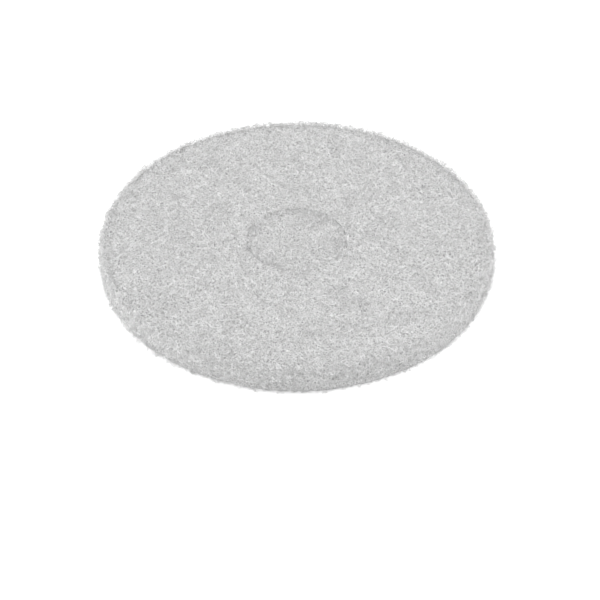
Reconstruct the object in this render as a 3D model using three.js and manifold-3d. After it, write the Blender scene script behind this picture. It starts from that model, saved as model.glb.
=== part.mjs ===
// A floor polishing pad: one thick disc, die-cut from a lofty non-woven web of crimped white fibre.
// Units are millimetres and +Z is up. The origin is the centre of the lower face, which lies flat on the floor.
//
// The pad is a single piece. A ring-shaped knife cut goes through it round the middle, so that the core can be
// pushed out where a machine has a centre lock. A few uncut bridges of web still hold the core in its place.
import * as THREE from "three";
import { ImprovedNoise } from "three/addons/math/ImprovedNoise.js";
import { mergeVertices } from "three/addons/utils/BufferGeometryUtils.js";
import Module from "manifold-3d";

const wasm = await Module();
wasm.setup();

// Driving dimensions: the disc
const padDiameter = 330.2;
const padThickness = 25.4;
const upperCornerRadius = 3.4;
const lowerCornerRadius = 2.8;
const rimBulge = 1.1;

// Driving dimensions: the knock-out core
const coreDiameter = 82.6;
const knifeCutWidth = 0.6;
const cutLipRadius = 1.0;
const coreSink = 1.0;
const bridgeCount = 4;
const bridgeWidth = 8;
const bridgeBite = 2;

// Driving dimensions: the unevenness of the web
const hollowDepth = 1.3;
const hollowSpan = 17;
const hollowOnset = 0.06;
const rimLumpHeight = 1.5;
const rimLumpSpan = 13;
const rimLumpReach = 14;
const edgeLift = 1.7;
const edgeLiftSpan = 21;

// How finely the curved surfaces are divided
const facetPitch = 6.0;
const sectorStep = 12;
const cornerSteps = 3;
const rimSteps = 4;
const lipSteps = 2;

const padRadius = padDiameter / 2;
// The corners stand back by the bulge, so that the widest part of the rim has the pad's own radius
const cornerRadiusLine = padRadius - rimBulge;
const coreRadius = coreDiameter / 2;
const boreRadius = coreRadius + knifeCutWidth;
const coreTop = padThickness - coreSink;
const quarterTurn = Math.PI / 2;

// Points along an arc in the half plane of radius and height, both ends included
function arc(centreRadius, centreHeight, radius, fromAngle, toAngle, steps) {
  return Array.from({ length: steps + 1 }, (_, i) => {
    const angle = fromAngle + ((toAngle - fromAngle) * i) / steps;
    return new THREE.Vector2(
      centreRadius + radius * Math.cos(angle),
      centreHeight + radius * Math.sin(angle),
    );
  });
}

// Points along a flat face between two radii at one height, both ends left out
function faceRings(fromRadius, toRadius, height, pitch) {
  const count = Math.max(1, Math.round(Math.abs(toRadius - fromRadius) / pitch));
  return Array.from({ length: count - 1 }, (_, i) => {
    const share = (i + 1) / count;
    return new THREE.Vector2(THREE.MathUtils.lerp(fromRadius, toRadius, share), height);
  });
}

// The cut edge between its two rounded corners: a shallow outward bow, as the die squeezes the web and lets it go
function rimBow(lowest, highest) {
  return Array.from({ length: rimSteps - 1 }, (_, i) => {
    const share = (i + 1) / rimSteps;
    const height = THREE.MathUtils.lerp(lowest, highest, share);
    return new THREE.Vector2(cornerRadiusLine + rimBulge * Math.sin(Math.PI * share), height);
  });
}

// The section of the disc outside the knife cut, run round once counter-clockwise
function outerProfile() {
  const lowerCentre = cornerRadiusLine - lowerCornerRadius;
  const upperCentre = cornerRadiusLine - upperCornerRadius;
  const upperCornerHeight = padThickness - upperCornerRadius;
  const lipCentre = boreRadius + cutLipRadius;
  const liftStart = cornerRadiusLine - rimLumpReach;
  return [
    ...arc(lipCentre, cutLipRadius, cutLipRadius, 2 * quarterTurn, 3 * quarterTurn, lipSteps),
    new THREE.Vector2(liftStart, 0),
    ...faceRings(liftStart, lowerCentre, 0, rimLumpReach / 2),
    ...arc(lowerCentre, lowerCornerRadius, lowerCornerRadius, -quarterTurn, 0, cornerSteps),
    ...rimBow(lowerCornerRadius, upperCornerHeight),
    ...arc(upperCentre, upperCornerHeight, upperCornerRadius, 0, quarterTurn, cornerSteps),
    ...faceRings(upperCentre, lipCentre, padThickness, facetPitch),
    ...arc(lipCentre, padThickness - cutLipRadius, cutLipRadius, quarterTurn, 2 * quarterTurn, lipSteps),
  ];
}

// The section of the core, from the axis out along its lower face and back along its upper one
function coreProfile() {
  const lipCentre = coreRadius - cutLipRadius;
  return [
    new THREE.Vector2(0, 0),
    ...arc(lipCentre, cutLipRadius, cutLipRadius, -quarterTurn, 0, lipSteps),
    ...arc(lipCentre, coreTop - cutLipRadius, cutLipRadius, 0, quarterTurn, lipSteps),
    ...faceRings(lipCentre, 0, coreTop, facetPitch),
    new THREE.Vector2(0, coreTop),
  ];
}

// How many vertices the ring at a radius has: about one facet apart, in steps that keep neighbouring rings in line
function sectorsAt(radius) {
  const steps = Math.round((2 * Math.PI * radius) / facetPitch / sectorStep);
  return Math.max(1, steps) * sectorStep;
}

// Triangles that lace one ring to the next, going round both together. A ring of one vertex lies on the axis.
function laced(ring, next) {
  const triangles = [];
  const steps = ring.count > 1 ? ring.count : 0;
  const nextSteps = next.count > 1 ? next.count : 0;
  let i = 0;
  let j = 0;
  while (i < steps || j < nextSteps) {
    const here = ring.first + (i % ring.count);
    const there = next.first + (j % next.count);
    const ringIsBehind = j >= nextSteps || (i < steps && (i + 1) * nextSteps <= (j + 1) * steps);
    if (ringIsBehind) {
      i += 1;
      triangles.push(here, ring.first + (i % ring.count), there);
    } else {
      j += 1;
      triangles.push(here, next.first + (j % next.count), there);
    }
  }
  return triangles;
}

// A closed body turned about +Z from a section. A lathe has as many sectors at the axis as at the rim. Here each ring
// has its own number, so that the facets of the web are about as long as they are wide all over the faces.
function turned(profile) {
  const positions = [];
  const rings = profile.map(({ x: radius, y: height }) => {
    const first = positions.length / 3;
    const count = radius > 0 ? sectorsAt(radius) : 1;
    for (let i = 0; i < count; i++) {
      const angle = (2 * Math.PI * i) / count;
      positions.push(radius * Math.cos(angle), radius * Math.sin(angle), height);
    }
    return { first, count };
  });
  const isClosedSection = profile[0].x > 0;
  const last = isClosedSection ? rings.length : rings.length - 1;
  const triangles = [];
  for (let i = 0; i < last; i++) {
    triangles.push(...laced(rings[i], rings[(i + 1) % rings.length]));
  }
  const geometry = new THREE.BufferGeometry();
  geometry.setAttribute("position", new THREE.Float32BufferAttribute(positions, 3));
  geometry.setIndex(triangles);
  return geometry;
}

const noise = new ImprovedNoise();

// Smooth noise from about -1 to 1, with lumps about one span across. The layer picks an unrelated pattern.
function webNoise(x, y, z, span, layer) {
  return noise.noise(x / span + layer, y / span + layer, z / span + layer);
}

const hollowLayer = 11.37;
const lumpLayer = 47.81;
const liftLayer = 83.53;

// The web is never quite even: its upper face has shallow thin spots between the stretches that were pressed level,
// its cut edge is lumpy, and its lower edge lifts a little off the floor in places.
function unevenWeb(geometry) {
  const position = geometry.getAttribute("position");
  const point = new THREE.Vector3();
  for (let i = 0; i < position.count; i++) {
    point.fromBufferAttribute(position, i);
    const { x, y, z } = point;
    const radius = Math.hypot(x, y);
    const height = z / padThickness;
    const nearRim = THREE.MathUtils.smoothstep(radius, cornerRadiusLine - rimLumpReach, cornerRadiusLine);
    const lump = nearRim * rimLumpHeight * webNoise(x, y, z, rimLumpSpan, lumpLayer);
    const hollow = Math.max(0, webNoise(x, y, 0, hollowSpan, hollowLayer) - hollowOnset);
    const lift = nearRim * Math.max(0, webNoise(x, y, 0, edgeLiftSpan, liftLayer));
    const outward = radius > 0 ? 1 + lump / radius : 1;
    const upward = edgeLift * lift * (1 - height) - hollowDepth * hollow * height;
    position.setXYZ(i, x * outward, y * outward, z + upward);
  }
  return geometry;
}

const mergeDistance = 0.001;

// A closed mesh as a solid for joining
function solidOf(geometry) {
  const bare = geometry.clone();
  bare.deleteAttribute("normal");
  bare.deleteAttribute("uv");
  const merged = mergeVertices(bare, mergeDistance);
  return new wasm.Manifold(
    new wasm.Mesh({
      numProp: 3,
      vertProperties: merged.getAttribute("position").array,
      triVerts: new Uint32Array(merged.index.array),
    }),
  );
}

// A joined solid as a mesh again
function geometryOf(solid) {
  const mesh = solid.getMesh();
  const geometry = new THREE.BufferGeometry();
  geometry.setAttribute("position", new THREE.BufferAttribute(mesh.vertProperties, 3));
  geometry.setIndex(new THREE.BufferAttribute(mesh.triVerts, 1));
  geometry.computeVertexNormals();
  return geometry;
}

// An uncut bridge of web across the knife cut. It stays under the rounded lips, so the cut still shows above it.
function bridge(angle) {
  const innerRadius = coreRadius - bridgeBite;
  const length = knifeCutWidth + 2 * bridgeBite;
  const height = coreTop - 2 * cutLipRadius;
  const geometry = new THREE.BoxGeometry(length, bridgeWidth, height);
  geometry.translate(innerRadius + length / 2, 0, cutLipRadius + height / 2);
  geometry.rotateZ(angle);
  return geometry;
}

// The bridges stand at the quarters between the X and Y axes
const firstBridgeAngle = quarterTurn / 2;
const bridges = Array.from({ length: bridgeCount }, (_, i) =>
  bridge(firstBridgeAngle + (2 * Math.PI * i) / bridgeCount),
);

const disc = solidOf(unevenWeb(turned(outerProfile())));
const core = solidOf(unevenWeb(turned(coreProfile())));
const padSolid = bridges.reduce((joined, geometry) => joined.add(solidOf(geometry)), disc.add(core));

const whiteFibre = new THREE.MeshStandardMaterial({ color: 0xd0d0d0, roughness: 1, metalness: 0 });

const pad = new THREE.Mesh(geometryOf(padSolid), whiteFibre);
pad.name = "polishing_pad";

const floorPad = new THREE.Group();
floorPad.add(pad);

export default floorPad;
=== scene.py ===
# The looks of a floor polishing pad: a thick disc of lofty non-woven web, made of crimped white fibres.
# Lengths are in metres and +Z is up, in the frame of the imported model.
import math

import bpy
import numpy as np
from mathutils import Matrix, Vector
from mathutils.bvhtree import BVHTree


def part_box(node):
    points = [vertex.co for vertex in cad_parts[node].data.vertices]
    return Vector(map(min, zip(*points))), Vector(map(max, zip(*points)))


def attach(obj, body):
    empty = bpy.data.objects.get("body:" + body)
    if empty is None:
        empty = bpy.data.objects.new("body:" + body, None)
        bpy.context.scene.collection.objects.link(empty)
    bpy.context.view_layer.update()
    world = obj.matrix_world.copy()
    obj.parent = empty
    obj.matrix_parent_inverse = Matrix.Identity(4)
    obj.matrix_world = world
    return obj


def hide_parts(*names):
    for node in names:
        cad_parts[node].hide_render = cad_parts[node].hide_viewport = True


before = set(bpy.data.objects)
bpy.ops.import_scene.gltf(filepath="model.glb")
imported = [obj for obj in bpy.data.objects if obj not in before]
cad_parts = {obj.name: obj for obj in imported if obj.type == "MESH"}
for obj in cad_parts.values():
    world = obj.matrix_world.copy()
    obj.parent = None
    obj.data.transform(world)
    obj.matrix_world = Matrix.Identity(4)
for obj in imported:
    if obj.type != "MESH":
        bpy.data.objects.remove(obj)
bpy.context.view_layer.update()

MM = 0.001
NODE = "polishing_pad"
BODY = "root"
QUARTER = math.pi / 2
TURN = 2 * math.pi
NEARLY_ZERO = 1e-12

# The pad's sizes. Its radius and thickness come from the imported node.
node_low, node_high = (Vector(corner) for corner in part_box(NODE))
PAD_RADIUS = (node_high.x - node_low.x + node_high.y - node_low.y) / 4
PAD_THICKNESS = node_high.z
UPPER_CORNER = 3.4 * MM
LOWER_CORNER = 2.8 * MM
CORE_RADIUS = 41.3 * MM
KNIFE_CUT = 0.6 * MM
CORE_SINK = 1.0 * MM
LIP_RADIUS = 1.0 * MM
BRIDGE_COUNT = 4
BRIDGE_WIDTH = 8 * MM
FIRST_BRIDGE_ANGLE = math.pi / 4
BORE_RADIUS = CORE_RADIUS + KNIFE_CUT
CORE_TOP = PAD_THICKNESS - CORE_SINK


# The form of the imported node, which the web and its fibres follow

class Form:
    """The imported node's surface, to pull points onto it from either side."""

    def __init__(self, node_object):
        mesh = node_object.data
        mesh.calc_loop_triangles()
        self.corners = np.array([tuple(vertex.co) for vertex in mesh.vertices])
        self.faces = np.array([tuple(triangle.vertices) for triangle in mesh.loop_triangles])
        self.tree = BVHTree.FromPolygons(self.corners.tolist(), self.faces.tolist())

    def nearest(self, points):
        """The nearest place on the surface for each point, and the outward normal there."""
        places = np.empty_like(points)
        normals = np.empty_like(points)
        for i, point in enumerate(points):
            place, normal, _, _ = self.tree.find_nearest(point)
            places[i] = place
            normals[i] = normal
        return places, normals

    def scatter(self, count, keep, draws):
        """Evenly spread places and their normals, on the faces that keep() picks by middle and normal."""
        corners = self.corners[self.faces]
        crosses = np.cross(corners[:, 1] - corners[:, 0], corners[:, 2] - corners[:, 0])
        doubled_areas = np.linalg.norm(crosses, axis=1)
        normals = crosses / np.maximum(doubled_areas, NEARLY_ZERO)[:, None]
        weights = doubled_areas * keep(corners.mean(axis=1), normals)
        even = (np.arange(count) + draws.random(count)) / count
        picks = np.searchsorted(np.cumsum(weights) / weights.sum(), even)
        along = np.sqrt(draws.random(count))[:, None]
        across = draws.random(count)[:, None]
        first, second, third = (corners[picks, k] for k in range(3))
        places = (1 - along) * first + along * (1 - across) * second + along * across * third
        return places, normals[picks]


form = Form(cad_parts[NODE])


def unit(vectors):
    """The vectors, each at a length of one."""
    return vectors / np.maximum(np.linalg.norm(vectors, axis=-1, keepdims=True), NEARLY_ZERO)


NOISE_WAVES = 24
NOISE_PITCHES = (0.7, 1.4)


def wave_noise(points, span, seed):
    """Smooth seeded noise of unit spread, with lumps about one span across."""
    draws = np.random.default_rng(seed)
    directions = unit(draws.normal(size=(NOISE_WAVES, 3)))
    pitches = draws.uniform(*NOISE_PITCHES, NOISE_WAVES)
    phases = draws.uniform(0, TURN, NOISE_WAVES)
    angles = points @ (directions * pitches[:, None]).T * (TURN / (2 * span)) + phases
    return np.sin(angles).sum(axis=1) * math.sqrt(2 / NOISE_WAVES)


# The web: one closed mesh, turned from the sections of the disc and of its core

# Distances between vertices on the upper face and the rim, on the walls of the cut and on the lower face
FACE_PITCH = 1.38 * MM
WALL_PITCH = 2.2 * MM
UNDER_PITCH = 2.3 * MM
# Every ring has a whole number of these sectors, so that neighbouring rings stay in line
SECTOR_STEP = 24


def arc(centre_radius, centre_height, radius, from_angle, to_angle, pitch):
    """Places in the section along an arc, both ends included."""
    steps = max(2, round(abs(to_angle - from_angle) * radius / pitch))
    angles = np.linspace(from_angle, to_angle, steps + 1)
    return [(centre_radius + radius * math.cos(a), centre_height + radius * math.sin(a)) for a in angles]


def between(start, end, pitch):
    """Places in the section along a straight stretch, both ends left out."""
    steps = max(1, round(math.dist(start, end) / pitch))
    shares = [i / steps for i in range(1, steps)]
    return [tuple(a + (b - a) * share for a, b in zip(start, end)) for share in shares]


def wall_heights():
    """Heights along the knife cut where its two walls have rings that face each other."""
    low, high = LIP_RADIUS, CORE_TOP - LIP_RADIUS
    steps = round((high - low) / WALL_PITCH)
    return [low + (high - low) * i / steps for i in range(steps + 1)]


def disc_section():
    """The section outside the knife cut, from the foot of the cut's wall round to its top."""
    lip_centre = BORE_RADIUS + LIP_RADIUS
    lower_centre = PAD_RADIUS - LOWER_CORNER
    upper_centre = PAD_RADIUS - UPPER_CORNER
    upper_height = PAD_THICKNESS - UPPER_CORNER
    lip_height = PAD_THICKNESS - LIP_RADIUS
    wall = [(BORE_RADIUS, height) for height in reversed(wall_heights())]
    return [
        *arc(lip_centre, LIP_RADIUS, LIP_RADIUS, 2 * QUARTER, 3 * QUARTER, FACE_PITCH)[1:],
        *between((lip_centre, 0), (lower_centre, 0), UNDER_PITCH),
        *arc(lower_centre, LOWER_CORNER, LOWER_CORNER, -QUARTER, 0, FACE_PITCH),
        *between((PAD_RADIUS, LOWER_CORNER), (PAD_RADIUS, upper_height), FACE_PITCH),
        *arc(upper_centre, upper_height, UPPER_CORNER, 0, QUARTER, FACE_PITCH),
        *between((upper_centre, PAD_THICKNESS), (lip_centre, PAD_THICKNESS), FACE_PITCH),
        *arc(lip_centre, lip_height, LIP_RADIUS, QUARTER, 2 * QUARTER, FACE_PITCH),
        *wall,
    ]


def core_section():
    """The core's section, from the axis out along its lower face and back along its upper one."""
    lip_centre = CORE_RADIUS - LIP_RADIUS
    wall = [(CORE_RADIUS, height) for height in wall_heights()]
    return [
        (0, 0),
        *between((0, 0), (lip_centre, 0), UNDER_PITCH),
        *arc(lip_centre, LIP_RADIUS, LIP_RADIUS, -QUARTER, 0, FACE_PITCH)[:-1],
        *wall,
        *arc(lip_centre, CORE_TOP - LIP_RADIUS, LIP_RADIUS, 0, QUARTER, FACE_PITCH)[1:],
        *between((lip_centre, CORE_TOP), (0, CORE_TOP), FACE_PITCH),
        (0, CORE_TOP),
    ]


def sectors_at(radius, height):
    """How many places a ring has: about one pitch apart, finer where the pad is looked at."""
    in_cut = abs(radius - (CORE_RADIUS + BORE_RADIUS) / 2) < KNIFE_CUT
    is_under = height < LIP_RADIUS and radius < PAD_RADIUS - LOWER_CORNER
    if in_cut:
        pitch = WALL_PITCH
    elif is_under:
        pitch = UNDER_PITCH
    else:
        pitch = FACE_PITCH
    return max(1, round(TURN * radius / pitch / SECTOR_STEP)) * SECTOR_STEP


def laced(ring, following):
    """Triangles between two rings, each given as first vertex and count. A ring of one is on the axis."""
    (first, count), (next_first, next_count) = ring, following
    steps = count if count > 1 else 0
    next_steps = next_count if next_count > 1 else 0
    triangles = []
    i = 0
    j = 0
    while i < steps or j < next_steps:
        here = first + i % count
        there = next_first + j % next_count
        ring_is_behind = j >= next_steps or (i < steps and (i + 1) * next_steps <= (j + 1) * steps)
        if ring_is_behind:
            i += 1
            triangles.append((here, first + i % count, there))
        else:
            j += 1
            triangles.append((here, next_first + j % next_count, there))
    return triangles


def paved(ring, following, left_out=()):
    """Squares between two rings of one count, apart from the sectors left out."""
    (first, count), (next_first, _) = ring, following
    return [
        (first + i, first + (i + 1) % count, next_first + (i + 1) % count, next_first + i)
        for i in range(count)
        if i not in left_out
    ]


class Turned:
    """Rings of vertices turned from sections, and the faces between them."""

    def __init__(self):
        self.vertices = []
        self.faces = []

    def rings(self, section):
        """Adds the rings of a section, and returns each one's first vertex and count."""
        made = []
        for radius, height in section:
            count = sectors_at(radius, height) if radius > 0 else 1
            made.append((len(self.vertices), count))
            angles = (TURN * i / count for i in range(count))
            self.vertices += [(radius * math.cos(a), radius * math.sin(a), height) for a in angles]
        return made

    def skin(self, rings, wall_rings, left_out):
        """Adds the faces along a row of rings, without the sectors where bridges join the cut."""
        for ring, following in zip(rings, rings[1:]):
            if ring in wall_rings and following in wall_rings:
                self.faces += paved(ring, following, left_out)
            else:
                self.faces += laced(ring, following)


def bridge_sectors(count):
    """The sectors of the cut that each bridge covers, as pairs of first and last edge."""
    half = round(BRIDGE_WIDTH / 2 / (TURN * CORE_RADIUS / count))
    middles = [count * (FIRST_BRIDGE_ANGLE / TURN + i / BRIDGE_COUNT) for i in range(BRIDGE_COUNT)]
    return [(round(middle) - half, round(middle) + half) for middle in middles]


def bridge_faces(core_wall, bore_wall, first_edge, last_edge):
    """The four sides of one bridge, as squares from the core's wall to the wall round it."""

    def across(here, there):
        """The square over the cut between two places, each given as its level and its sector."""
        (level, sector), (next_level, next_sector) = here, there
        return (
            core_wall[level][0] + sector,
            bore_wall[level][0] + sector,
            bore_wall[next_level][0] + next_sector,
            core_wall[next_level][0] + next_sector,
        )

    top = len(core_wall) - 1
    edges = range(first_edge, last_edge)
    levels = range(top)
    return [
        *(across((0, i + 1), (0, i)) for i in edges),
        *(across((top, i), (top, i + 1)) for i in edges),
        *(across((k, first_edge), (k + 1, first_edge)) for k in levels),
        *(across((k + 1, last_edge), (k, last_edge)) for k in levels),
    ]


def pad_skin():
    """The vertices and faces of disc, core and the bridges between them, all in one closed skin."""
    turned = Turned()
    disc_rings = turned.rings(disc_section())
    core_rings = turned.rings(core_section())
    levels = len(wall_heights())
    bore_wall = disc_rings[-levels:][::-1]
    core_start = next(i for i, (radius, _) in enumerate(core_section()) if radius == CORE_RADIUS)
    core_wall = core_rings[core_start:core_start + levels]
    bridges = bridge_sectors(core_wall[0][1])
    left_out = {i for first, last in bridges for i in range(first, last)}
    turned.skin([*disc_rings, disc_rings[0]], bore_wall, left_out)
    turned.skin(core_rings, core_wall, left_out)
    for first, last in bridges:
        turned.faces += bridge_faces(core_wall, bore_wall, first, last)
    return turned.vertices, turned.faces


def mesh_object(name, vertices, faces, material):
    """A smooth-shaded object made from plain lists, without the vertices that no face uses."""
    used = np.unique(np.concatenate([np.asarray(face) for face in faces]))
    places = np.asarray(vertices)
    renumbered = np.full(len(places), -1)
    renumbered[used] = np.arange(len(used))
    kept_faces = [tuple(renumbered[list(face)].tolist()) for face in faces]
    mesh = bpy.data.meshes.new(name)
    mesh.from_pydata(places[used].tolist(), [], kept_faces)
    mesh.shade_smooth()
    mesh.materials.append(material)
    piece = bpy.data.objects.new(name, mesh)
    bpy.context.scene.collection.objects.link(piece)
    return piece


def vertex_array(mesh, source="vertices", field="co"):
    """A mesh's vertex places or normals as rows of three."""
    values = np.empty(len(mesh.vertices) * 3, dtype=np.float32)
    getattr(mesh, source).foreach_get(field, values)
    return values.reshape(-1, 3).astype(float)


def averaged(mesh, values, rounds):
    """Each vertex's row of values, averaged again and again with its neighbours'."""
    edges = np.empty(len(mesh.edges) * 2, dtype=np.int32)
    mesh.edges.foreach_get("vertices", edges)
    here, there = edges.reshape(-1, 2).T
    ends = np.concatenate([here, there])
    others = np.concatenate([there, here])
    shares = np.bincount(ends, minlength=len(values))[:, None]
    for _ in range(rounds):
        sums = np.stack([np.bincount(ends, values[others, k], len(values)) for k in range(3)], axis=1)
        values = (values + sums / shares) / 2
    return values


# The dense inside of the web stands a little below the outermost fibres, and is rough
WEB_INSET = 1.5 * MM
WEB_ROUGHNESS = 0.6 * MM
LUMP_HEIGHT = 0.1 * MM
LUMP_SPAN = 4.5 * MM
GRAIN_SEED = 5
LUMP_SEED = 3
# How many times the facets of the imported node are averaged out
FORM_SMOOTHING = 8
# Towards the knife cut the sideways relief fades out over this distance, and its walls swell a little
CUT_CLEARANCE = 3.2 * MM
CUT_SWELL = 0.15 * MM
# Along the upper edge the web stands further back, which leaves room for the larger curls there
EDGE_WIDTH = 6 * MM
EDGE_INSET = 0.4 * MM
EDGE_HEIGHTS = (0.55, 0.85)
FLOOR_CLEARANCE = 0.1 * MM


def openness(points):
    """How far each place is from the knife cut, from 0 in it to 1 clear of it."""
    radii = np.hypot(points[:, 0], points[:, 1])
    distance = np.abs(radii - (CORE_RADIUS + BORE_RADIUS) / 2)
    return np.clip((distance - KNIFE_CUT) / CUT_CLEARANCE, 0, 1)


def edge_share(points):
    """How near each place is to the upper edge, from 0 away from it to 1 at it."""
    inward = PAD_RADIUS - np.hypot(points[:, 0], points[:, 1])
    low, high = (share * PAD_THICKNESS for share in EDGE_HEIGHTS)
    return np.clip(1 - inward / EDGE_WIDTH, 0, 1) * np.clip((points[:, 2] - low) / (high - low), 0, 1)


def make_web(material):
    """The body of the pad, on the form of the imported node."""
    vertices, faces = pad_skin()
    web = mesh_object("web", vertices, faces, material)
    mesh = web.data
    plain = vertex_array(mesh)
    placed, _ = form.nearest(plain)
    offsets = averaged(mesh, placed - plain, FORM_SMOOTHING)
    followed = plain + offsets
    mesh.vertices.foreach_set("co", followed.ravel())
    mesh.update()
    normals = vertex_array(mesh, "vertex_normals", "vector")
    draws = np.random.default_rng(GRAIN_SEED)
    grain = WEB_ROUGHNESS * draws.uniform(-1, 1, len(followed))
    lumps = LUMP_HEIGHT * wave_noise(followed, LUMP_SPAN, LUMP_SEED)
    inset = WEB_INSET + EDGE_INSET * edge_share(followed)
    relief = normals * (grain + lumps - inset)[:, None]
    clear = openness(followed)
    relief[:, :2] *= clear[:, None]
    relief += normals * np.where(clear == 0, CUT_SWELL, 0)[:, None]
    rough = followed + relief
    rough[:, 2] = np.maximum(rough[:, 2], FLOOR_CLEARANCE)
    mesh.vertices.foreach_set("co", rough.ravel())
    mesh.update()
    return web


# The fibres: crimped tubes that creep over the form, dip into the web and stand proud of it

# The real fibres are thinner and more. Each tube stands for a few that run together.
FIBRE_RADIUS = 0.17 * MM
FIBRE_SIDES = 3
FIBRE_SEGMENTS = 7
# The spread of a fibre's steady turn and of its random turns at each segment, in radians
FIBRE_BEND = 0.3
FIBRE_CRIMP = 0.35


def creep(places, ups, headings, lengths, lift_at, draws):
    """Lines that wander over the form, and the outward direction at each of their points."""
    count = len(places)
    steps = (lengths / FIBRE_SEGMENTS)[:, None]
    bends = draws.normal(0, FIBRE_BEND, count)
    lines = np.empty((count, FIBRE_SEGMENTS + 1, 3))
    outward = np.empty_like(lines)
    for s in range(FIBRE_SEGMENTS + 1):
        lines[:, s] = places + ups * lift_at(s / FIBRE_SEGMENTS)[:, None]
        outward[:, s] = ups
        turn = (bends + draws.normal(0, FIBRE_CRIMP, count))[:, None]
        headings = unit(headings * np.cos(turn) + np.cross(ups, headings) * np.sin(turn))
        ahead = places + headings * steps
        places, ups = form.nearest(ahead)
        headings = unit(headings - ups * (headings * ups).sum(axis=1, keepdims=True))
    return lines, outward


# Which corners of a square in a tube's side lie one step further along the tube, and one further round it
CORNERS_ALONG = np.array([0, 0, 1, 1])
CORNERS_AROUND = np.array([0, 1, 1, 0])
# Where a tube's sides and ends lie in its cell of the bake map
CELL_SIDES = ((0.12, 0.06), (0.76, 0.88))
CELL_END_RADIUS = 0.04
CELL_NEAR_END = (0.06, 0.5)
CELL_FAR_END = (0.94, 0.5)


def tube_cells(count, segments):
    """Places in the bake map: each tube has a grid cell, with its sides unrolled between its two ends."""
    columns = math.ceil(math.sqrt(count))
    cells = np.stack([np.arange(count) % columns, np.arange(count) // columns], axis=1)
    along = (np.arange(segments)[:, None, None] + CORNERS_ALONG) / segments
    around = (np.arange(FIBRE_SIDES)[None, :, None] + CORNERS_AROUND) / FIBRE_SIDES
    low, size = CELL_SIDES
    sides = low + np.stack(np.broadcast_arrays(along, around), axis=-1).reshape(-1, 2) * size
    turns = TURN * np.arange(FIBRE_SIDES) / FIBRE_SIDES
    end = CELL_END_RADIUS * np.stack([np.cos(turns), np.sin(turns)], axis=1)
    parts = (sides, CELL_NEAR_END + end[::-1], CELL_FAR_END + end)
    placed = [(cells[:, None, :] + part[None, :, :]) / columns for part in parts]
    return np.concatenate([part.reshape(-1, 2) for part in placed])


# How thick the tip of a tube is, and over what share of its length it gets thinner
TIP_GIRTH = 0.55
TIP_LENGTH = 0.25


def tube_vertices(lines, outward, radii):
    """The rings of vertices round each line, none of them below the floor."""
    along = unit(np.gradient(lines, axis=1))
    side = unit(np.cross(along, outward))
    up = np.cross(side, along)
    shares = np.linspace(0, 1, lines.shape[1])
    taper = TIP_GIRTH + (1 - TIP_GIRTH) * np.minimum(1, np.minimum(shares, 1 - shares) / TIP_LENGTH)
    girths = radii[:, None] * taper[None, :]
    turns = TURN * np.arange(FIBRE_SIDES) / FIBRE_SIDES
    cosines = np.cos(turns)[None, None, :, None]
    sines = np.sin(turns)[None, None, :, None]
    around = cosines * side[:, :, None] + sines * up[:, :, None]
    vertices = (lines[:, :, None] + girths[:, :, None, None] * around).reshape(-1, 3)
    vertices[:, 2] = np.maximum(vertices[:, 2], 0)
    return vertices


def tube_faces(count, segments):
    """The sides and the two ends of each tube, as rows of vertex numbers."""
    points = segments + 1
    starts = np.arange(count)[:, None, None] * points * FIBRE_SIDES
    ring = np.arange(segments)[None, :, None] * FIBRE_SIDES
    here = np.arange(FIBRE_SIDES)[None, None, :]
    following = (here + 1) % FIBRE_SIDES
    sides = np.stack(
        [
            starts + ring + here,
            starts + ring + following,
            starts + ring + FIBRE_SIDES + following,
            starts + ring + FIBRE_SIDES + here,
        ],
        axis=-1,
    ).reshape(-1, 4)
    first_ring = np.arange(count)[:, None] * points * FIBRE_SIDES
    round_once = np.arange(FIBRE_SIDES)[None, :]
    near_caps = first_ring + round_once[:, ::-1]
    far_caps = first_ring + segments * FIBRE_SIDES + round_once
    return sides, np.concatenate([near_caps, far_caps])


def tubes(name, lines, outward, radii, material):
    """One object with a thin closed tube along each line, and a cell in the bake map for each."""
    count, points, _ = lines.shape
    vertices = tube_vertices(lines, outward, radii)
    sides, caps = tube_faces(count, points - 1)
    mesh = bpy.data.meshes.new(name)
    mesh.vertices.add(len(vertices))
    mesh.vertices.foreach_set("co", vertices.ravel())
    corners = np.concatenate([sides.ravel(), caps.ravel()])
    mesh.loops.add(len(corners))
    mesh.loops.foreach_set("vertex_index", corners)
    sizes = np.concatenate([np.full(len(sides), sides.shape[1]), np.full(len(caps), caps.shape[1])])
    mesh.polygons.add(len(sizes))
    mesh.polygons.foreach_set("loop_start", np.concatenate([[0], np.cumsum(sizes)[:-1]]))
    mesh.update(calc_edges=True)
    bake_map = mesh.uv_layers.new(name="OFBake")
    bake_map.data.foreach_set("uv", tube_cells(count, points - 1).ravel())
    mesh.validate()
    mesh.shade_smooth()
    mesh.materials.append(material)
    piece = bpy.data.objects.new(name, mesh)
    bpy.context.scene.collection.objects.link(piece)
    return piece


# Keeps the upward direction from being exactly parallel to a normal
OFF_UPRIGHT = 1e-6


def anywhere(ups, draws):
    """Headings that point any way along the surface."""
    return unit(np.cross(ups, draws.normal(size=ups.shape)))


def mostly_level(ups, draws, spread):
    """Headings along the rim, as the web is laid in level layers, with some spread."""
    level = unit(np.cross(ups, np.array([0.0, 0.0, 1.0])[None, :] + OFF_UPRIGHT))
    level *= draws.choice([-1, 1], len(ups))[:, None]
    tilt = draws.normal(0, spread, len(ups))[:, None]
    return level * np.cos(tilt) + np.cross(ups, level) * np.sin(tilt)


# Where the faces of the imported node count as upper, lower or rim ones, by share of its size and by slope
OUTER_SHARE = 0.8
RIM_NORMAL = 0.75


def upper_faces(middles, normals):
    """The upper face of the disc and of the core."""
    return (normals[:, 2] > RIM_NORMAL) & (middles[:, 2] > PAD_THICKNESS * OUTER_SHARE)


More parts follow.
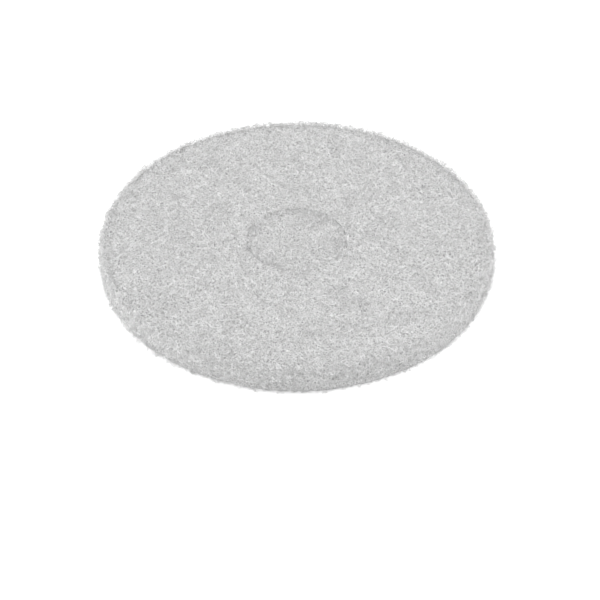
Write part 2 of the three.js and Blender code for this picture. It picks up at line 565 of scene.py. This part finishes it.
def under_faces(middles, normals):
    """The lower face of the disc and of the core."""
    return (normals[:, 2] < -RIM_NORMAL) & (middles[:, 2] < PAD_THICKNESS * (1 - OUTER_SHARE))


def cut_faces(middles, normals):
    """A narrow ring of the upper face, on both sides of the knife cut."""
    radii = np.hypot(middles[:, 0], middles[:, 1])
    return upper_faces(middles, normals) & (np.abs(radii - CORE_RADIUS) < CUT_CLEARANCE)


def edge_faces(middles, normals):
    """The rounded upper edge and the strip of the upper face beside it."""
    radii = np.hypot(middles[:, 0], middles[:, 1])
    is_outer = radii > PAD_RADIUS - EDGE_WIDTH
    is_high = middles[:, 2] > PAD_THICKNESS - UPPER_CORNER
    return is_outer & is_high & (normals[:, 2] > 0)


def rim_faces(middles, normals):
    """The die-cut edge between the two faces of the disc."""
    radii = np.hypot(middles[:, 0], middles[:, 1])
    return (radii > PAD_RADIUS * OUTER_SHARE) & (np.abs(normals[:, 2]) <= RIM_NORMAL)


FIBRE_LENGTHS = (13 * MM, 24 * MM)
FIBRE_DEPTH = 0.3 * MM
FIBRE_DEPTH_SPREAD = 0.38 * MM
FIBRE_GIRTHS = (0.6, 1.4)
# Each fibre swings up and down by a share of this height, over this many waves
CRIMP_HEIGHT = 0.5 * MM
CRIMP_WAVES = (0.8, 2.2)
# Some fibres rise out of the web as well, in a loop or at one end
PROUD_SHARE = 0.16
PROUD_HEIGHT = 1.5 * MM
END_RISE_SHARE = 0.5
HEIGHT_SHARES = (0.3, 1)


def make_fibres(name, count, keep, seed, material, level_spread=None, proud_share=PROUD_SHARE):
    """One layer of long fibres over the faces that keep() picks."""
    draws = np.random.default_rng(seed)
    places, ups = form.scatter(count, keep, draws)
    if level_spread is None:
        headings = anywhere(ups, draws)
    else:
        headings = mostly_level(ups, draws, level_spread)
    lengths = draws.uniform(*FIBRE_LENGTHS, count)
    depth = draws.normal(-FIBRE_DEPTH, FIBRE_DEPTH_SPREAD, count)
    swing = draws.uniform(*HEIGHT_SHARES, count) * CRIMP_HEIGHT
    waves = draws.uniform(*CRIMP_WAVES, count)
    phase = draws.uniform(0, TURN, count)
    is_proud = draws.random(count) < proud_share
    rise = np.where(is_proud, draws.uniform(*HEIGHT_SHARES, count) * PROUD_HEIGHT, 0)
    end_rises = draws.random(count) < END_RISE_SHARE

    def lift_at(share):
        """How high each fibre stands over the form at a share of its length."""
        crimped = depth + swing * np.sin(TURN * waves * share + phase)
        loop = math.sin(math.pi * share)
        end = share ** 2
        return crimped + rise * np.where(end_rises, end, loop)

    lines, outward = creep(places, ups, headings, lengths, lift_at, draws)
    radii = FIBRE_RADIUS * draws.uniform(*FIBRE_GIRTHS, count)
    return tubes(name, lines, outward, radii, material)


# A curl is a piece of a coil. Its axis points any way, with a leaning towards the outward direction.
CURL_SEGMENTS = 6
CURL_RADII = (0.9 * MM, 1.8 * MM)
CURL_TURNS = (0.55, 1.15)
CURL_DRIFTS = (0.3 * MM, 2.2 * MM)
CURL_DEPTH = 0.75 * MM
CURL_DEPTH_SPREAD = 0.5 * MM
CURL_FLATNESS = 0.6
CURL_GIRTHS = (0.7, 1.3)
PROUD_CURL_SHARE = 0.26
PROUD_CURL_DEPTHS = (-2.1 * MM, -0.4 * MM)


def make_curls(
    name,
    count,
    keep,
    seed,
    material,
    proud_share=PROUD_CURL_SHARE,
    flatness=CURL_FLATNESS,
    size=1,
):
    """Curls of fibre that lie every way in the outermost layer of the web, and stand a little out of it."""
    draws = np.random.default_rng(seed)
    places, ups = form.scatter(count, keep, draws)
    is_proud = draws.random(count) < proud_share
    proud_depths = draws.uniform(*PROUD_CURL_DEPTHS, count)
    depths = np.where(is_proud, proud_depths, draws.normal(CURL_DEPTH, CURL_DEPTH_SPREAD, count))
    middles = places - ups * depths[:, None]
    axes = unit(draws.normal(size=(count, 3)) + flatness * ups)
    across = unit(np.cross(axes, draws.normal(size=(count, 3))))
    beside = np.cross(axes, across)
    radii = size * draws.uniform(*CURL_RADII, count)[:, None, None]
    turns = TURN * draws.uniform(*CURL_TURNS, count)[:, None, None]
    drifts = draws.uniform(*CURL_DRIFTS, count)[:, None, None]
    shares = np.linspace(-0.5, 0.5, CURL_SEGMENTS + 1)[None, :, None]
    angles = turns * shares
    coiled = np.cos(angles) * across[:, None, :] + np.sin(angles) * beside[:, None, :]
    lines = middles[:, None, :] + radii * coiled + drifts * shares * axes[:, None, :]
    outward = np.broadcast_to(axes[:, None, :], lines.shape)
    girths = size * FIBRE_RADIUS * draws.uniform(*CURL_GIRTHS, count)
    return tubes(name, lines, outward, girths, material)


# The materials

def node(tree, kind, x, y, **settings):
    """A new shader node with its settings."""
    made = tree.nodes.new(kind)
    made.location = (x, y)
    for key, value in settings.items():
        setattr(made, key, value)
    return made


def maths(tree, operation, first, second=None, third=None, x=0, y=0):
    """A Math node fed by links or plain numbers."""
    made = node(tree, "ShaderNodeMath", x, y, operation=operation)
    for socket, value in zip(made.inputs, (first, second, third)):
        if isinstance(value, bpy.types.NodeSocket):
            tree.links.new(value, socket)
        elif value is not None:
            socket.default_value = value
    return made.outputs[0]


# The strands that are drawn on the web: layers of curly lines, each a little finer than the one before.
# Between them the web takes its dark value, which is painted shade of the gaps between fibres.
STRAND_LAYERS = 4
STRAND_SCALE = 330
STRAND_SCALE_GROWTH = 0.23
STRAND_WIDTH = 0.045
STRAND_DETAIL = 1
LAYER_SPACING = 7.3
NOISE_MIDDLE = 0.5


def drawn_strands(tree, place):
    """A tangle of curly lines, each layer of them where smooth noise crosses its middle value."""
    tangle = 0.0
    for layer in range(STRAND_LAYERS):
        y = 600 - 260 * layer
        noise = node(tree, "ShaderNodeTexNoise", -1500, y, noise_dimensions="4D")
        noise.inputs["W"].default_value = LAYER_SPACING * layer
        noise.inputs["Scale"].default_value = STRAND_SCALE * (1 + STRAND_SCALE_GROWTH * layer)
        noise.inputs["Detail"].default_value = STRAND_DETAIL
        tree.links.new(place, noise.inputs["Vector"])
        off_middle = maths(tree, "SUBTRACT", noise.outputs["Fac"], NOISE_MIDDLE, x=-1300, y=y)
        off = maths(tree, "ABSOLUTE", off_middle, x=-1150, y=y)
        line = maths(tree, "MULTIPLY_ADD", off, -1 / STRAND_WIDTH, 1, x=-1000, y=y)
        tangle = maths(tree, "MAXIMUM", line, tangle, x=-850, y=y)
    return tangle


# Fine speckles vary the shade and the polish
SPECKLE_SCALE = 1000
SPECKLE_DETAIL = 2
SPECKLE_ROUGHNESS = 0.6
SPECKLE_CONTRAST = 2.2
SPECKLE_OFFSET = -0.6
# How much of the way from the dark value to the light one comes from the speckles, the strands and the tubes
SPECKLE_SHARE = 0.5
STRAND_SHARE = 0.6
TUBE_SHARE = 0.5
POLISH_RANGE = (0.45, 0.75)
FIBRE_SPECULAR = 0.4
BUMP_STRENGTH = 0.9
WEB_BUMP = 0.3 * MM
TUBE_BUMP = 0.03 * MM
# The colour sockets of a Mix node: two inputs and the result
MIX_FIRST = 6
MIX_SECOND = 7
MIX_RESULT = 2


def white_fibre(name, dark_tone_and_gap_shade, light, has_strands):
    """Matt white synthetic fibre, whose tone and polish vary from strand to strand and along each strand. On
    the web the dark value between the drawn strands is painted shade of the gaps between fibres.
    """
    material = bpy.data.materials.new(name)
    material.use_nodes = True
    tree = material.node_tree
    link = tree.links.new
    shader = tree.nodes["Principled BSDF"]
    place = node(tree, "ShaderNodeTexCoord", -1800, 0).outputs["Object"]
    speckle = node(tree, "ShaderNodeTexNoise", -1000, -400)
    speckle.inputs["Scale"].default_value = SPECKLE_SCALE
    speckle.inputs["Detail"].default_value = SPECKLE_DETAIL
    speckle.inputs["Roughness"].default_value = SPECKLE_ROUGHNESS
    link(place, speckle.inputs["Vector"])
    speckles = speckle.outputs["Fac"]
    patches = maths(tree, "MULTIPLY_ADD", speckles, SPECKLE_CONTRAST, SPECKLE_OFFSET, x=-700, y=-300)
    patch_share = maths(tree, "MULTIPLY", patches, SPECKLE_SHARE, x=-600)
    if has_strands:
        strands = drawn_strands(tree, place)
        mixed = maths(tree, "MULTIPLY_ADD", strands, STRAND_SHARE, patch_share, x=-450)
    else:
        island = node(tree, "ShaderNodeNewGeometry", -1000, 200).outputs["Random Per Island"]
        mixed = maths(tree, "MULTIPLY_ADD", island, TUBE_SHARE, patch_share, x=-450)
    shade = node(tree, "ShaderNodeMix", -250, 100, data_type="RGBA")
    # On the web the dark value is painted shade in the gaps between the drawn strands. On the tubes it is
    # their own darkest tone.
    shade.inputs[MIX_FIRST].default_value = (dark_tone_and_gap_shade, dark_tone_and_gap_shade, dark_tone_and_gap_shade, 1)
    shade.inputs[MIX_SECOND].default_value = (light, light, light, 1)
    link(mixed, shade.inputs["Factor"])
    link(shade.outputs[MIX_RESULT], shader.inputs["Base Color"])
    polish = node(tree, "ShaderNodeMapRange", -250, -150)
    polish.inputs["To Min"].default_value = POLISH_RANGE[0]
    polish.inputs["To Max"].default_value = POLISH_RANGE[1]
    link(speckles, polish.inputs["Value"])
    link(polish.outputs["Result"], shader.inputs["Roughness"])
    shader.inputs["Specular IOR Level"].default_value = FIBRE_SPECULAR
    bump = node(tree, "ShaderNodeBump", -250, -450)
    bump.inputs["Distance"].default_value = WEB_BUMP if has_strands else TUBE_BUMP
    bump.inputs["Strength"].default_value = BUMP_STRENGTH
    link(mixed, bump.inputs["Height"])
    link(bump.outputs["Normal"], shader.inputs["Normal"])
    return material


# The pieces

# The web is painted darker than the tubes, and darkest between its drawn strands. This is painted shade of
# its deeper layer and gaps.
web_white_with_painted_shade = white_fibre("web_white_with_painted_shade", dark_tone_and_gap_shade=0.12, light=0.8, has_strands=True)
strand_white = white_fibre("strand_white", dark_tone_and_gap_shade=0.32, light=0.97, has_strands=False)

# How many curls and fibres each piece holds. Together they stay under a million triangles.
UPPER_CURL_LAYERS = 2
UPPER_CURLS = 5200
RIM_CURLS = 4700
CUT_CURLS = 450
EDGE_CURLS = 2200
UNDER_CURLS = 1900
UPPER_FIBRES = 1500
RIM_FIBRES = 500
# The curls at the knife cut and along the upper edge are larger, and those along the edge point any way.
CUT_CURL_SIZE = 1.2
CUT_PROUD_SHARE = 0.15
EDGE_CURL_SIZE = 1.25
EDGE_PROUD_SHARE = 0.5
EDGE_FLATNESS = 0
RIM_LEVEL_SPREAD = 0.5
RIM_PROUD_SHARE = 0.3


def make_cut_curls():
    """Curls on both sides of the knife cut, which soften its line."""
    return make_curls(
        "cut_curls",
        CUT_CURLS,
        cut_faces,
        seed=35,
        material=strand_white,
        proud_share=CUT_PROUD_SHARE,
        size=CUT_CURL_SIZE,
    )


def make_edge_curls():
    """Curls along the upper edge, which fray its outline."""
    return make_curls(
        "edge_curls",
        EDGE_CURLS,
        edge_faces,
        seed=38,
        material=strand_white,
        proud_share=EDGE_PROUD_SHARE,
        flatness=EDGE_FLATNESS,
        size=EDGE_CURL_SIZE,
    )


def make_rim_fibres():
    """Long fibres that run mostly level round the rim, as the web is laid in layers."""
    return make_fibres(
        "rim_fibres",
        RIM_FIBRES,
        rim_faces,
        seed=60,
        material=strand_white,
        level_spread=RIM_LEVEL_SPREAD,
        proud_share=RIM_PROUD_SHARE,
    )


web = make_web(web_white_with_painted_shade)
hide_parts(NODE)
pieces = [web]
for layer in range(UPPER_CURL_LAYERS):
    layer_name = f"upper_curls_{layer + 1}"
    pieces.append(make_curls(layer_name, UPPER_CURLS, upper_faces, seed=20 + layer, material=strand_white))
pieces.append(make_curls("rim_curls", RIM_CURLS, rim_faces, seed=30, material=strand_white))
pieces.append(make_cut_curls())
pieces.append(make_edge_curls())
pieces.append(make_curls("under_curls", UNDER_CURLS, under_faces, seed=40, material=strand_white))
pieces.append(make_fibres("upper_fibres", UPPER_FIBRES, upper_faces, seed=50, material=strand_white))
pieces.append(make_rim_fibres())
for piece in pieces:
    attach(piece, BODY)


# The stage: a pale floor, soft light and the camera of the photograph

# The floor ends short of the lamps at the sides, because floor behind a lamp would look grey
FLOOR_RADIUS = 2.6
FLOOR_SECTORS = 96
# How much light the floor adds to its own look, and how much of the light on it comes back to the pad
FLOOR_GLOW = 0.12
FLOOR_BOUNCE = 0.22


def make_floor():
    """A wide round floor that looks white and still takes the pad's soft shadow."""
    mesh = bpy.data.meshes.new("floor")
    angles = [TURN * i / FLOOR_SECTORS for i in range(FLOOR_SECTORS)]
    rim = [(FLOOR_RADIUS * math.cos(a), FLOOR_RADIUS * math.sin(a), 0) for a in angles]
    mesh.from_pydata(rim, [], [list(range(FLOOR_SECTORS))])
    material = bpy.data.materials.new("floor_white")
    material.use_nodes = True
    tree = material.node_tree
    link = tree.links.new
    tree.nodes.remove(tree.nodes["Principled BSDF"])
    seen = node(tree, "ShaderNodeLightPath", -900, 300).outputs
    straight = maths(tree, "MAXIMUM", seen["Is Camera Ray"], seen["Is Glossy Ray"], x=-700, y=300)
    looked_at = maths(tree, "MAXIMUM", straight, seen["Is Transmission Ray"], x=-500, y=300)
    shown = node(tree, "ShaderNodeBsdfDiffuse", -300, 100)
    shown.inputs["Color"].default_value = (1, 1, 1, 1)
    glow = node(tree, "ShaderNodeEmission", -300, -50)
    glow.inputs["Strength"].default_value = FLOOR_GLOW
    white = node(tree, "ShaderNodeAddShader", -100, 50)
    link(shown.outputs[0], white.inputs[0])
    link(glow.outputs[0], white.inputs[1])
    bounce = node(tree, "ShaderNodeBsdfDiffuse", -300, -200)
    bounce.inputs["Color"].default_value = (FLOOR_BOUNCE, FLOOR_BOUNCE, FLOOR_BOUNCE, 1)
    mixed = node(tree, "ShaderNodeMixShader", 100, 100)
    link(looked_at, mixed.inputs[0])
    link(bounce.outputs[0], mixed.inputs[1])
    link(white.outputs[0], mixed.inputs[2])
    link(mixed.outputs[0], tree.nodes["Material Output"].inputs["Surface"])
    mesh.materials.append(material)
    floor = bpy.data.objects.new("floor", mesh)
    bpy.context.scene.collection.objects.link(floor)


WORLD_LIGHT = 0.36


def make_world():
    """Even soft light from all round, with plain white where the camera looks past the floor."""
    world = bpy.data.worlds.new("studio")
    bpy.context.scene.world = world
    world.use_nodes = True
    tree = world.node_tree
    link = tree.links.new
    light = tree.nodes["Background"]
    light.inputs["Color"].default_value = (1, 1, 1, 1)
    light.inputs["Strength"].default_value = WORLD_LIGHT
    backdrop = node(tree, "ShaderNodeBackground", 0, -200)
    backdrop.inputs["Color"].default_value = (1, 1, 1, 1)
    backdrop.inputs["Strength"].default_value = 1
    seen = node(tree, "ShaderNodeLightPath", -200, 200)
    mixed = node(tree, "ShaderNodeMixShader", 200, 0)
    link(seen.outputs["Is Camera Ray"], mixed.inputs[0])
    link(light.outputs[0], mixed.inputs[1])
    link(backdrop.outputs[0], mixed.inputs[2])
    link(mixed.outputs[0], tree.nodes["World Output"].inputs["Surface"])


LAMP_TARGET = Vector((0, 0, 0.02))


def make_lamp(name, place, size, power):
    """A square soft box that points at the middle of the pad."""
    data = bpy.data.lights.new(name, "AREA")
    data.size = size
    data.energy = power
    lamp = bpy.data.objects.new(name, data)
    lamp.location = place
    lamp.rotation_euler = (LAMP_TARGET - lamp.location).to_track_quat("-Z", "Y").to_euler()
    bpy.context.scene.collection.objects.link(lamp)


CAMERA_DISTANCE = 1.816
CAMERA_ELEVATION = math.radians(39.2)
CAMERA_PITCH = math.radians(40.85)
CAMERA_YAW = math.radians(-0.119)
CAMERA_LENS = 130.1
CAMERA_REACH = 100
SENSOR_WIDTH = 36


def make_camera():
    """The photograph's camera: in front of the pad, looking down at it."""
    data = bpy.data.cameras.new("camera")
    data.lens = CAMERA_LENS
    data.sensor_width = SENSOR_WIDTH
    data.clip_end = CAMERA_REACH
    camera = bpy.data.objects.new("camera", data)
    back = CAMERA_DISTANCE * math.cos(CAMERA_ELEVATION)
    height = CAMERA_DISTANCE * math.sin(CAMERA_ELEVATION) + PAD_THICKNESS
    camera.location = (0, -back, height)
    camera.rotation_euler = (QUARTER - CAMERA_PITCH, 0, CAMERA_YAW)
    bpy.context.scene.collection.objects.link(camera)
    bpy.context.scene.camera = camera


make_floor()
make_world()
make_lamp("key", (-0.5, -4.1, 2.5), size=1.8, power=228)
make_lamp("back", (0.2, 2.6, 1.6), size=1.8, power=65)
make_lamp("left", (-3, 0.1, 0.65), size=1.5, power=82)
make_lamp("right", (3, 0.1, 0.65), size=1.5, power=88)
make_camera()
bpy.context.scene.view_settings.view_transform = "Standard"
